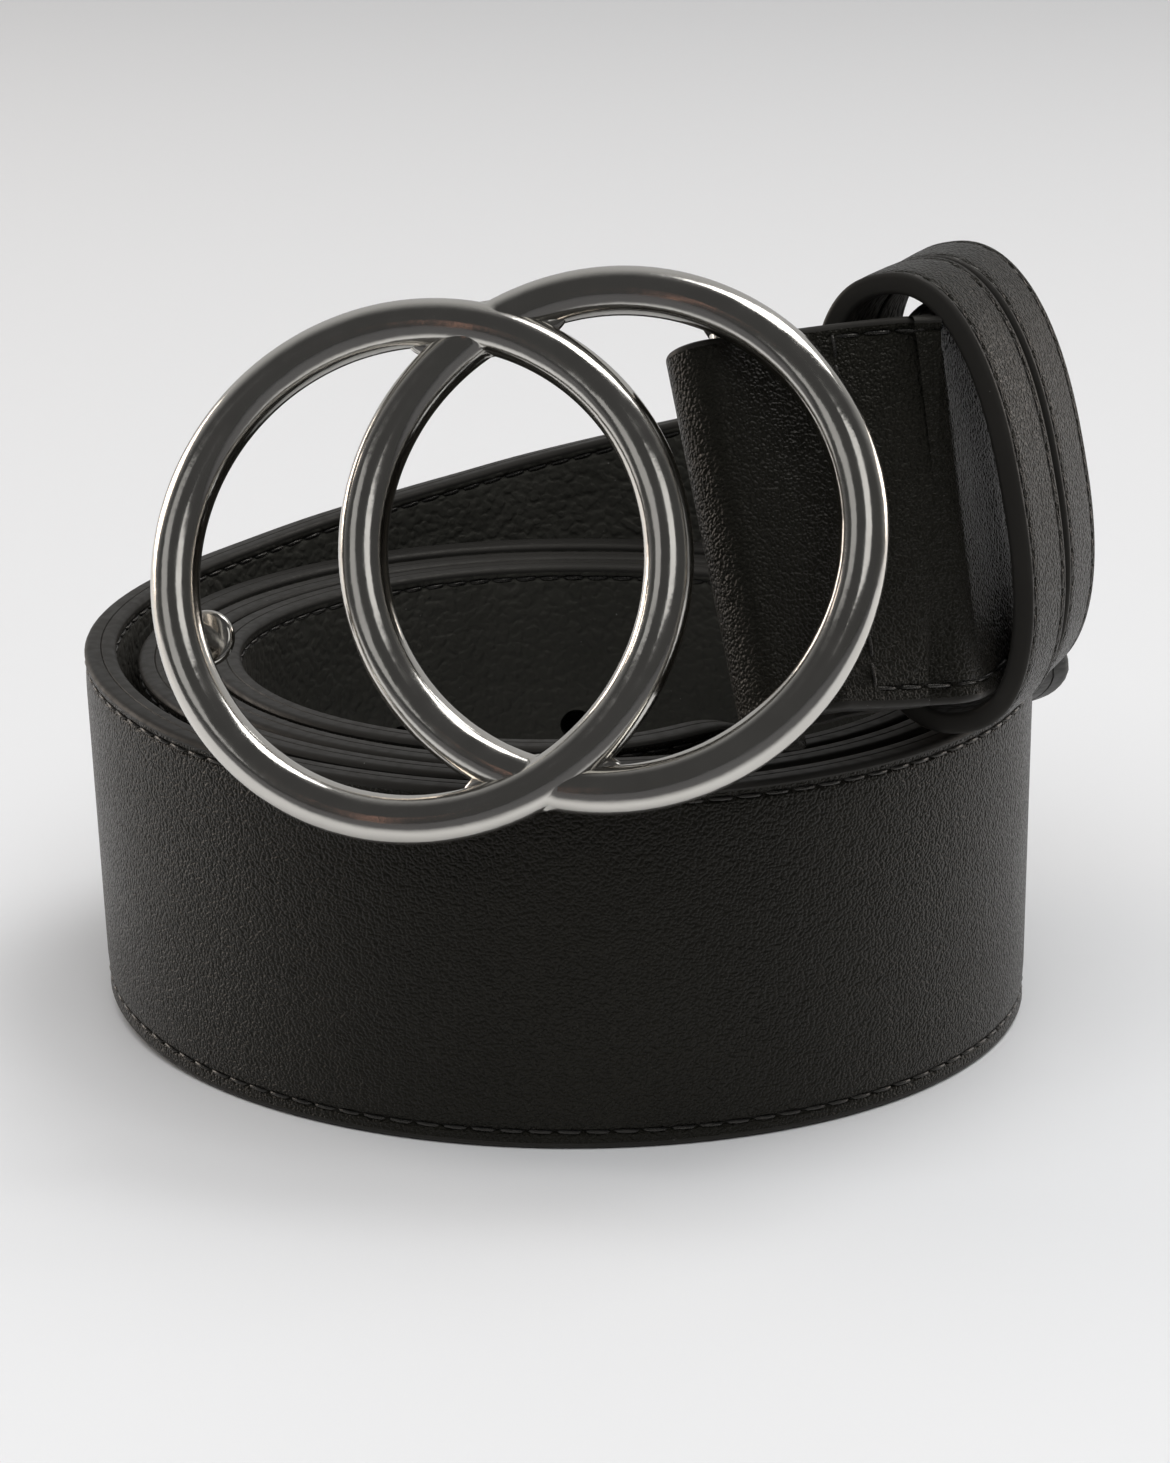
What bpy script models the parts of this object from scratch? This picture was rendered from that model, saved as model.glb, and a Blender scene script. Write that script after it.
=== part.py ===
"""A coiled leather belt with a cast double ring buckle. Metres, +Z up, standing on its long edge.

The strap is one ribbon, described by stations. Each station holds the middle of the ribbon's outer face,
the line across the ribbon and the direction that the outer face looks in. The stations start at the tail
behind the bar of the buckle, pass round the bar, through the two keepers, and wind inwards to the tip.
"""
import math

import bmesh
import bpy
from mathutils import Matrix, Vector

# Strap
STRAP_WIDTH = 0.040
FACE_THICKNESS = 0.0019
LINING_THICKNESS = 0.0014
GLUE_GAP = 0.0003
LINING_INSET = 0.0005
FACE_CHAMFER = 0.0007
BACK_CHAMFER = 0.0003
TIP_LENGTH = 0.019
TIP_END_SHARE = 0.28
TIP_STATIONS = 12

# Coil
COIL_RADIUS = 0.0520
STATIONS_PER_TURN = 48
LAST_TURN = 3.895

# Peg holes
HOLE_DIAMETER = 0.0040
HOLE_COUNT = 5
HOLE_SPACING = 0.025
FIRST_HOLE = 0.1056

# Buckle
RING_DIAMETER = 0.0567
WIRE_DIAMETER = 0.0051
RING_SPACING = 0.0199
RING_STEP = 0.0006
RING_AZIMUTH = math.radians(-12.7)
RING_ELEVATION = math.radians(26.2)
RING_ROLL = math.radians(12.9)
BAR_DIAMETER = 0.0036
BAR_TO_RING_CENTRE = 0.0136
BAR_BEHIND_RINGS = 0.0066
LUG_THICKNESS = 0.0020
LUG_WIDTH = 0.0044
STUD_ANGLE = math.radians(185.0)
STUD_NECK_DIAMETER = 0.0026
STUD_NECK_LENGTH = 0.0026
STUD_HEAD_DIAMETER = 0.0060
STUD_HEAD_THICKNESS = 0.0015

# Fold of leather round the bar
FOLD_TURN = math.radians(26.0)
FOLD_SKEW = math.radians(4.0)
FOLD_CLEARANCE = 0.0003
FOLD_DROP = 0.0004
FOLD_LENGTH = 0.0220
TWIST_FROM = 0.0070
FOLD_TWIST = 0.7
TAIL_PARTS = 0.0048
TAIL_MEETS = 0.0118
TAIL_LENGTH = 0.0165
BEND_RADIUS = 0.0048

# Keepers
KEEPER_WIDTH = 0.0112
KEEPER_HEIGHT = 0.0490
BACK_KEEPER_SHARE = 0.985
KEEPER_DEPTH = 0.0222
KEEPER_THICKNESS = 0.0023
KEEPER_CHAMFER = 0.0006
KEEPER_OUTER_ROOM = 0.0043
KEEPER_FIRST = 0.0012
KEEPER_PITCH = 0.0126
KEEPER_TURN_SHARE = 0.3
KEEPER_RISE = 0.0001
KEEPER_SECTIONS = 36
KEEPER_SQUARENESS = 2.4

# The middle of the bar, as shares of the coil's radius and of the strap's width
BAR_SHARES = (0.349, -0.816, 1.609)

# The strap from the keepers to the tip. Turns count from the right side, anticlockwise from above, and
# the first turn is the outermost. The radius reaches the outer face at mid width (share of the coil's
# radius), the height is that of mid width (share of the strap's width), and the lean is how far the upper
# edge tips outwards (degrees).
STRAP_ROWS = [
    # turn, radius, height, lean
    (-0.092, 0.998, 1.645, -12.5),
    (-0.058, 0.976, 1.638, -11.5),
    (-0.028, 0.978, 1.600, -10.0),
    (0.000, 0.996, 1.500, -8.5),
    (0.028, 1.025, 1.340, -7.0),
    (0.056, 1.042, 1.220, -4.5),
    (0.083, 1.046, 1.128, -2.5),
    (0.125, 1.048, 1.030, -1.0),
    (0.167, 1.048, 0.940, 0.0),
    (0.225, 1.048, 0.810, 0.0),
    (0.257, 1.048, 0.745, 0.0),
    (0.289, 1.046, 0.683, 0.5),
    (0.335, 1.044, 0.616, 1.0),
    (0.388, 1.043, 0.565, 1.6),
    (0.444, 1.045, 0.545, 2.2),
    (0.500, 1.047, 0.538, 2.4),
    (0.560, 1.040, 0.520, 2.8),
    (0.625, 1.026, 0.500, 3.2),
    (0.750, 1.020, 0.500, 3.6),
    (0.875, 1.008, 0.500, 2.2),
    (1.000, 0.985, 0.500, 0.0),
    (1.125, 0.966, 0.500, 0.4),
    (1.250, 0.929, 0.500, 0.8),
    (1.375, 0.924, 0.500, 1.6),
    (1.500, 0.931, 0.500, 2.4),
    (1.625, 0.932, 0.500, 3.2),
    (1.750, 0.930, 0.500, 3.6),
    (1.875, 0.926, 0.500, 2.2),
    (2.000, 0.908, 0.500, 0.0),
    (2.125, 0.868, 0.500, 0.4),
    (2.250, 0.806, 0.500, 0.8),
    (2.375, 0.818, 0.500, 1.6),
    (2.500, 0.855, 0.500, 2.4),
    (2.625, 0.855, 0.500, 3.2),
    (2.750, 0.854, 0.500, 3.6),
    (2.875, 0.850, 0.500, 2.2),
    (3.000, 0.831, 0.500, 0.0),
    (3.125, 0.786, 0.500, 0.4),
    (3.250, 0.729, 0.500, 0.8),
    (3.375, 0.738, 0.500, 1.6),
    (3.500, 0.779, 0.500, 2.4),
    (3.625, 0.764, 0.500, 3.2),
    (3.750, 0.722, 0.500, 3.6),
    (3.800, 0.670, 0.500, 3.0),
    (3.858, 0.575, 0.500, 2.0),
    (3.895, 0.490, 0.500, 1.0),
]

# Turns between which the stations change from square across the ribbon to upright
UPRIGHT_FROM = 0.44
UPRIGHT_AT = 0.60


def interpolate(rows, turn):
    """Reads every column of a table at one turn, smoothly and without running past the values given."""
    last = len(rows) - 1
    i = max(k for k in range(last) if k == 0 or rows[k][0] <= turn)
    span = rows[i + 1][0] - rows[i][0]
    t = min(max((turn - rows[i][0]) / span, 0.0), 1.0)
    values = []
    for column in range(1, len(rows[0])):
        start, end = rows[i][column], rows[i + 1][column]
        slope_in, slope_out = slope_at(rows, i, column) * span, slope_at(rows, i + 1, column) * span
        values.append((2 * t ** 3 - 3 * t ** 2 + 1) * start + (t ** 3 - 2 * t ** 2 + t) * slope_in
                      + (3 * t ** 2 - 2 * t ** 3) * end + (t ** 3 - t ** 2) * slope_out)
    return values


def slope_at(rows, i, column):
    """Slope of a column at a row: none where the column turns round."""
    if i == 0 or i == len(rows) - 1:
        k = 0 if i == 0 else i - 1
        return (rows[k + 1][column] - rows[k][column]) / (rows[k + 1][0] - rows[k][0])
    before = (rows[i][column] - rows[i - 1][column]) / (rows[i][0] - rows[i - 1][0])
    after = (rows[i + 1][column] - rows[i][column]) / (rows[i + 1][0] - rows[i][0])
    if before * after <= 0:
        return 0.0
    return 2 * before * after / (before + after)


def coil_point(turn):
    """Middle of the outer face at a turn."""
    radius, height, _ = interpolate(STRAP_ROWS, turn)
    angle = math.tau * turn
    return Vector((radius * COIL_RADIUS * math.cos(angle), radius * COIL_RADIUS * math.sin(angle),
                   height * STRAP_WIDTH))


def ring_axes():
    """Directions of the buckle: along the row of rings, along the bar, and out of its front."""
    front = Vector((math.sin(RING_AZIMUTH) * math.cos(RING_ELEVATION),
                    -math.cos(RING_AZIMUTH) * math.cos(RING_ELEVATION), math.sin(RING_ELEVATION)))
    level = Vector((0, 0, 1)).cross(front).normalized()
    along = Matrix.Rotation(RING_ROLL, 3, front) @ level
    return along, front.cross(along), front


ALONG, UP_BAR, FRONT = ring_axes()
BAR = Vector((BAR_SHARES[0] * COIL_RADIUS, BAR_SHARES[1] * COIL_RADIUS, BAR_SHARES[2] * STRAP_WIDTH))
SLOT_RADIUS = BAR_DIAMETER / 2 + FOLD_CLEARANCE
FOLD_RADIUS = SLOT_RADIUS + FACE_THICKNESS
FOLD_OUT = FRONT * math.cos(FOLD_TURN) + ALONG * math.sin(FOLD_TURN)
FOLD_SIDE = ALONG * math.cos(FOLD_TURN) - FRONT * math.sin(FOLD_TURN)
FOLD_ALONG = FOLD_SIDE * math.cos(FOLD_SKEW) + UP_BAR * math.sin(FOLD_SKEW)
FOLD_ACROSS = UP_BAR * math.cos(FOLD_SKEW) - FOLD_SIDE * math.sin(FOLD_SKEW)
FOLD_CENTRE = BAR - FOLD_ALONG * math.sin(FOLD_SKEW) * STRAP_WIDTH / 2 - FOLD_ACROSS * FOLD_DROP


def leaning(tangent, lean):
    """Line across the ribbon, tipped outwards by an angle from upright."""
    level = Vector((tangent.y, -tangent.x, 0)).normalized()
    return level * math.sin(lean) + Vector((0, 0, 1)) * math.cos(lean)


def first_across():
    """Line across the ribbon where the table starts."""
    turn, _, _, lean = STRAP_ROWS[0]
    return leaning(coil_point(turn + 0.004) - coil_point(turn), math.radians(lean))


def fold_axes(along):
    """Line across the fold and the direction its front looks in, at a distance from the bar."""
    share = FOLD_TWIST * min(max((along - TWIST_FROM) / (FOLD_LENGTH - TWIST_FROM), 0.0), 1.0)
    across = FOLD_ACROSS.lerp(first_across(), share)
    across = (across - FOLD_ALONG * across.dot(FOLD_ALONG)).normalized()
    return across, FOLD_ALONG.cross(across)


def fold_path():
    """Points of the outer face at mid width and lines across, from the tail's end to past the bend."""
    points, across = [], []
    steps = 10
    for k in range(steps + 1):
        along = TAIL_LENGTH * (1 - k / steps)
        share = min(max((along - TAIL_PARTS) / (TAIL_MEETS - TAIL_PARTS), 0.0), 1.0)
        share = 3 * share ** 2 - 2 * share ** 3
        depth = -FOLD_RADIUS * (1 - share) + (SLOT_RADIUS - GLUE_GAP - FACE_THICKNESS) * share
        line, out = fold_axes(along)
        points.append(FOLD_CENTRE + FOLD_ALONG * along + out * depth)
        across.append(line)
    steps = 12
    for k in range(1, steps):
        angle = math.pi * k / steps
        points.append(FOLD_CENTRE - FOLD_ALONG * FOLD_RADIUS * math.sin(angle)
                      - FOLD_OUT * FOLD_RADIUS * math.cos(angle))
        across.append(FOLD_ACROSS.copy())
    line, out = fold_axes(FOLD_LENGTH)
    corner = FOLD_CENTRE + FOLD_ALONG * FOLD_LENGTH + out * FOLD_RADIUS
    target = coil_point(STRAP_ROWS[0][0])
    onward = target - corner
    onward = (onward - line * line.dot(onward)).normalized()
    turn = FOLD_ALONG.angle(onward)
    cut = BEND_RADIUS * math.tan(turn / 2)
    for k in range(6):
        along = (FOLD_LENGTH - cut) * k / 6
        side, face = fold_axes(along)
        points.append(FOLD_CENTRE + FOLD_ALONG * along + face * FOLD_RADIUS)
        across.append(side)
    inward = (onward - FOLD_ALONG * FOLD_ALONG.dot(onward)).normalized()
    centre = corner - FOLD_ALONG * cut + inward * BEND_RADIUS
    for k in range(7):
        angle = turn * k / 6
        points.append(centre + FOLD_ALONG * BEND_RADIUS * math.sin(angle) - inward * BEND_RADIUS * math.cos(angle))
        across.append(line)
    bend_end = len(points) - 1
    begin = points[-1]
    reach = (target - begin).length
    leave = onward * reach
    arrive = (coil_point(STRAP_ROWS[0][0] + 0.004) - target).normalized() * reach
    for k in range(1, 6):
        t = k / 6
        points.append(begin * (2 * t ** 3 - 3 * t ** 2 + 1) + leave * (t ** 3 - 2 * t ** 2 + t)
                      + target * (3 * t ** 2 - 2 * t ** 3) + arrive * (t ** 3 - t ** 2))
        across.append(line.lerp(first_across(), t))
    return points, across, bend_end


def all_turns():
    """Turns of the coil's stations: the same angles on every turn, and closer together at the tip."""
    turns = [STRAP_ROWS[0][0]]
    step = 1 / STATIONS_PER_TURN
    first = math.ceil(turns[0] / step + 0.3)
    tip = LAST_TURN - 0.085
    turns += [k * step for k in range(first, math.floor(tip / step) + 1)]
    start = turns[-1]
    turns += [start + (LAST_TURN - start) * (1 - (1 - k / TIP_STATIONS) ** 1.5) for k in range(1, TIP_STATIONS + 1)]
    return turns


def make_stations():
    """All stations as (middle, across, face direction, distance from the start)."""
    points, across, bend_end = fold_path()
    first_coil = len(points)
    turns = all_turns()
    for turn in turns:
        points.append(coil_point(turn))
        across.append(leaning(coil_point(turn + 0.002) - coil_point(turn - 0.002),
                              math.radians(interpolate(STRAP_ROWS, turn)[2])))
    stations = []
    distance = 0.0
    for k, middle in enumerate(points):
        before, after = points[max(k - 1, 0)], points[min(k + 1, len(points) - 1)]
        tangent = (after - before).normalized()
        distance += (middle - points[k - 1]).length if k else 0.0
        square = (across[k] - tangent * across[k].dot(tangent)).normalized()
        outward = tangent.cross(square).normalized()
        turn = turns[k - first_coil] if k >= first_coil else -1.0
        share = min(max((turn - UPRIGHT_FROM) / (UPRIGHT_AT - UPRIGHT_FROM), 0.0), 1.0)
        if share > 0:
            lean = math.radians(interpolate(STRAP_ROWS, turn)[2])
            level = Vector((tangent.y, -tangent.x, 0)).normalized()
            upright = Vector((0, 0, 1)) + level * math.tan(lean)
            square = square.lerp(upright, share)
            outward = outward.lerp(level, share).normalized()
        stations.append((middle, square, outward, distance))
    return stations, bend_end


def width_share(left):
    """Share of the full width kept at a distance from the tip."""
    if left >= TIP_LENGTH:
        return 1.0
    return TIP_END_SHARE + (1 - TIP_END_SHARE) * math.sqrt(1 - (1 - left / TIP_LENGTH) ** 2)


def ribbon(name, stations, section, length):
    """Solid swept along stations. The section gives (across, depth) from the middle of the outer face."""
    mesh = bpy.data.meshes.new(name)
    bm = bmesh.new()
    rings = []
    for middle, across, outward, distance in stations:
        share = width_share(length - distance)
        rings.append([bm.verts.new(middle + across * w * share - outward * d) for w, d in section])
    count = len(section)
    for one, two in zip(rings, rings[1:]):
        for k in range(count):
            bm.faces.new((one[k], one[(k + 1) % count], two[(k + 1) % count], two[k]))
    bm.faces.new(rings[0])
    bm.faces.new(list(reversed(rings[-1])))
    bmesh.ops.recalc_face_normals(bm, faces=bm.faces)
    bm.to_mesh(mesh)
    bm.free()
    return mesh


def face_section():
    """Outline of the face leather across the strap."""
    half, thick, c, b = STRAP_WIDTH / 2, FACE_THICKNESS, FACE_CHAMFER, BACK_CHAMFER
    return [(-half + c, 0), (half - c, 0), (half, c), (half, thick - b), (half - b, thick),
            (-half + b, thick), (-half, thick - b), (-half, c)]


def lining_section():
    """Outline of the lining across the strap."""
    half, top, c = STRAP_WIDTH / 2 - LINING_INSET, FACE_THICKNESS + GLUE_GAP, FACE_CHAMFER
    low = top + LINING_THICKNESS
    return [(-half, top), (half, top), (half, low - c), (half - c, low), (-half + c, low), (-half, low - c)]


def material(name, colour, roughness, metallic=0.0):
    """Principled material."""
    made = bpy.data.materials.new(name)
    made.use_nodes = True
    shader = made.node_tree.nodes["Principled BSDF"]
    shader.inputs["Base Color"].default_value = (*colour, 1.0)
    shader.inputs["Roughness"].default_value = roughness
    shader.inputs["Metallic"].default_value = metallic
    return made


def new_object(name, mesh, home, look=None):
    """Object in a collection, with a material."""
    made = bpy.data.objects.new(name, mesh)
    home.objects.link(made)
    if look:
        mesh.materials.append(look)
    return made


def cut(target, cutter, operation):
    """Boolean modifier with a hidden helper object."""
    modifier = target.modifiers.new(cutter.name, "BOOLEAN")
    modifier.operation = operation
    modifier.solver = "EXACT"
    modifier.object = cutter
    cutter.hide_render = True
    cutter.display_type = "WIRE"


def primitive(kind, name, place, home, **sizes):
    """Blender primitive whose vertices are put in place by a matrix, in one collection."""
    bm = bmesh.new()
    if kind == "cylinder":
        bmesh.ops.create_cone(bm, cap_ends=True, segments=sizes["segments"], radius1=sizes["radius"],
                              radius2=sizes["radius"], depth=sizes["depth"])
    else:
        bmesh.ops.create_cube(bm, size=1.0, matrix=Matrix.Diagonal((*sizes["size"], 1.0)))
        bmesh.ops.bevel(bm, geom=bm.edges, offset=sizes["bevel"], segments=2, affect="EDGES", profile=0.5)
    bmesh.ops.transform(bm, matrix=place, verts=bm.verts)
    mesh = bpy.data.meshes.new(name)
    bm.to_mesh(mesh)
    bm.free()
    return new_object(name, mesh, home)


def frame_at(centre, x_axis, y_axis, z_axis):
    """Matrix with the given axes and centre."""
    return Matrix((
        (x_axis.x, y_axis.x, z_axis.x, centre.x),
        (x_axis.y, y_axis.y, z_axis.y, centre.y),
        (x_axis.z, y_axis.z, z_axis.z, centre.z),
        (0, 0, 0, 1)))


def ring(name, centre, home):
    """Torus in the plane of the buckle."""
    bpy.ops.mesh.primitive_torus_add(major_radius=(RING_DIAMETER - WIRE_DIAMETER) / 2,
                                     minor_radius=WIRE_DIAMETER / 2, major_segments=52, minor_segments=14)
    made = bpy.context.object
    made.name = name
    for collection in list(made.users_collection):
        collection.objects.unlink(made)
    home.objects.link(made)
    made.data.transform(frame_at(centre, ALONG, UP_BAR, FRONT))
    return made


def build_buckle(home, tools, look):
    """Two rings, the bar with its two lugs, and the stud, joined as one casting."""
    right = BAR - ALONG * BAR_TO_RING_CENTRE + FRONT * BAR_BEHIND_RINGS
    left = right - ALONG * RING_SPACING + FRONT * RING_STEP
    buckle = ring("ring_buckle", left, home)
    buckle.data.materials.append(look)
    cut(buckle, ring("right_ring", right, tools), "UNION")
    wire = (RING_DIAMETER - WIRE_DIAMETER) / 2
    reach = math.sqrt(wire ** 2 - BAR_TO_RING_CENTRE ** 2)
    bar = primitive("cylinder", "bar", frame_at(BAR, ALONG, FRONT * -1, UP_BAR), tools,
                    segments=20, radius=BAR_DIAMETER / 2, depth=2 * reach)
    cut(buckle, bar, "UNION")
    depth = BAR_BEHIND_RINGS + BAR_DIAMETER / 2 + 0.0006
    for name, side in (("upper_lug", 1), ("lower_lug", -1)):
        centre = BAR + UP_BAR * reach * side + FRONT * (BAR_BEHIND_RINGS - depth / 2)
        lug = primitive("box", name, frame_at(centre, ALONG, UP_BAR, FRONT), tools,
                        size=(LUG_WIDTH, LUG_THICKNESS, depth), bevel=0.0005)
        cut(buckle, lug, "UNION")
    spot = left + (ALONG * math.cos(STUD_ANGLE) + UP_BAR * math.sin(STUD_ANGLE)) * (wire - 0.0012)
    neck_depth = WIRE_DIAMETER / 2 + STUD_NECK_LENGTH
    neck = primitive("cylinder", "stud_neck", frame_at(spot - FRONT * neck_depth / 2, ALONG, UP_BAR, FRONT),
                     tools, segments=16, radius=STUD_NECK_DIAMETER / 2, depth=neck_depth)
    cut(buckle, neck, "UNION")
    head_at = spot - FRONT * (neck_depth + STUD_HEAD_THICKNESS / 2 - 0.0002)
    head = primitive("cylinder", "stud_head", frame_at(head_at, ALONG, UP_BAR, FRONT), tools,
                     segments=24, radius=STUD_HEAD_DIAMETER / 2, depth=STUD_HEAD_THICKNESS)
    cut(buckle, head, "UNION")
    return buckle


def station_at(stations, distance):
    """Middle, across and face direction at a distance from the start of the strap."""
    k = next(i for i, station in enumerate(stations) if station[3] >= distance)
    one, two = stations[k - 1], stations[k]
    share = (distance - one[3]) / (two[3] - one[3])
    return [a.lerp(b, share) for a, b in zip(one[:3], two[:3])]


def build_keeper(name, stations, distance, pair_middle, height, home, look):
    """Leather loop round the strap. Its direction lies between its own place's and that of the pair."""
    middle = station_at(stations, distance)[0]
    _, across, outward = station_at(stations, pair_middle + KEEPER_TURN_SHARE * (distance - pair_middle))
    across, outward = across.normalized(), outward.normalized()
    forward = outward.cross(across).normalized() * -1
    inside = KEEPER_THICKNESS + KEEPER_OUTER_ROOM
    centre = middle - outward * (KEEPER_DEPTH / 2 - inside) + across * KEEPER_RISE
    half_w, c = KEEPER_WIDTH / 2, KEEPER_CHAMFER
    section = [(0, -half_w + c), (0, half_w - c), (c, half_w), (KEEPER_THICKNESS - c, half_w),
               (KEEPER_THICKNESS, half_w - c), (KEEPER_THICKNESS, -half_w + c),
               (KEEPER_THICKNESS - c, -half_w), (c, -half_w)]
    bm = bmesh.new()
    rings = []
    for k in range(KEEPER_SECTIONS):
        angle = math.tau * k / KEEPER_SECTIONS
        verts = []
        for inset, along in section:
            out = (KEEPER_DEPTH / 2 - inset) * signed_power(math.cos(angle))
            up = (height / 2 - inset) * signed_power(math.sin(angle))
            verts.append(bm.verts.new(centre + outward * out + across * up + forward * along))
        rings.append(verts)
    for k in range(KEEPER_SECTIONS):
        one, two = rings[k], rings[(k + 1) % KEEPER_SECTIONS]
        for i in range(8):
            bm.faces.new((one[i], one[(i + 1) % 8], two[(i + 1) % 8], two[i]))
    bmesh.ops.recalc_face_normals(bm, faces=bm.faces)
    mesh = bpy.data.meshes.new(name)
    bm.to_mesh(mesh)
    bm.free()
    return new_object(name, mesh, home, look)


def signed_power(value):
    """Cosine or sine shaped for a rounded oblong."""
    return math.copysign(abs(value) ** (2 / KEEPER_SQUARENESS), value)


def punch_holes(targets, stations, length, tools):
    """Row of peg holes through the innermost turn only."""
    thickness = FACE_THICKNESS + GLUE_GAP + LINING_THICKNESS
    for number in range(HOLE_COUNT):
        middle, across, outward = station_at(stations, length - FIRST_HOLE - number * HOLE_SPACING)
        outward.normalize()
        side = outward.cross(Vector((0, 0, 1))).normalized()
        depth = thickness + 0.002
        centre = middle - outward * (depth / 2 - GLUE_GAP / 2)
        tool = primitive("cylinder", f"peg_hole_{number + 1}", frame_at(centre, side, outward.cross(side), outward),
                         tools, segments=16, radius=HOLE_DIAMETER / 2, depth=depth)
        for target in targets:
            cut(target, tool, "DIFFERENCE")


def main():
    for old in list(bpy.data.objects):
        bpy.data.objects.remove(old)
    home = bpy.data.collections.new("ring_buckle_belt")
    tools = bpy.data.collections.new("cutters")
    for collection in (home, tools):
        bpy.context.scene.collection.children.link(collection)
    leather = material("black_leather", (0.02, 0.02, 0.022), 0.45)
    suede = material("dark_lining", (0.035, 0.033, 0.033), 0.75)
    silver = material("polished_alloy", (0.75, 0.73, 0.72), 0.12, 1.0)

    stations, bend_end = make_stations()
    length = stations[-1][3]
    face = new_object("strap_face", ribbon("strap_face", stations, face_section(), length), home, leather)
    lining = new_object("strap_lining", ribbon("strap_lining", stations[bend_end:], lining_section(), length),
                        home, suede)
    punch_holes((face, lining), stations, length, tools)
    bend = stations[bend_end][3]
    first = bend + KEEPER_FIRST + KEEPER_WIDTH / 2
    pair_middle = first + KEEPER_PITCH / 2
    build_keeper("keeper_front", stations, first, pair_middle, KEEPER_HEIGHT, home, leather)
    build_keeper("keeper_back", stations, first + KEEPER_PITCH, pair_middle, KEEPER_HEIGHT * BACK_KEEPER_SHARE,
                 home, leather)
    buckle = build_buckle(home, tools, silver)

    corners = [v.co for o in home.objects for v in o.data.vertices]
    corners += [v.co for o in tools.objects for v in o.data.vertices]
    shift = Vector(((min(c.x for c in corners) + max(c.x for c in corners)) / -2,
                    (min(c.y for c in corners) + max(c.y for c in corners)) / -2, 0))
    for made in list(home.objects) + list(tools.objects):
        made.data.transform(Matrix.Translation(shift))
    pivot = BAR + shift
    buckle.data.transform(Matrix.Translation(-pivot))
    buckle.location = pivot


main()
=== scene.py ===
# %% [markdown]
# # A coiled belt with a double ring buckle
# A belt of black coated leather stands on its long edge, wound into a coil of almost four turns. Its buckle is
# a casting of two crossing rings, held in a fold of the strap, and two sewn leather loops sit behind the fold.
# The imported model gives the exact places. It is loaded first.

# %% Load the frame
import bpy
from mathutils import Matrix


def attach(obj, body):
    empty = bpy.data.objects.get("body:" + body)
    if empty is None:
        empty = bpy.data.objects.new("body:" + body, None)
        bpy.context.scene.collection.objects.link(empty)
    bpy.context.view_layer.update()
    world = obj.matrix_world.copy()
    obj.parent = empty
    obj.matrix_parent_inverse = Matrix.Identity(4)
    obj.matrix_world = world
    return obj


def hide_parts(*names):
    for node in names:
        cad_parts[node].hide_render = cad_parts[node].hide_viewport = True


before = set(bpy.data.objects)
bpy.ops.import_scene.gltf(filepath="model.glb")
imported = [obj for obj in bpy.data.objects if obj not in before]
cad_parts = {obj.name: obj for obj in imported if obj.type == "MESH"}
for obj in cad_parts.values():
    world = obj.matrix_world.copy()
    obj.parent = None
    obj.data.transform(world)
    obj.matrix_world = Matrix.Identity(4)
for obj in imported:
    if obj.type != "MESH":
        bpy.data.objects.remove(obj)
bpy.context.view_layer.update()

# %% [markdown]
# The rest needs Blender's own modules and numpy. All meshes are made from rows of points, because a belt is
# nothing but a few sections swept along a curve, and points give full control of each edge and groove.

# %% Modules
import math

import bmesh
import bpy
import numpy as np
from mathutils import Matrix, Vector

MM = 0.001

# %% [markdown]
# ## The run of the strap
# A strap is cut flat and bends only along its length. So one curve describes it: the middle of the outer face,
# with the line across the strap and the direction of the face at each place. A curve drawn by hand would also
# do, but a short table of turn, radius, height and lean keeps the turns evenly spaced and easy to change.

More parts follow.
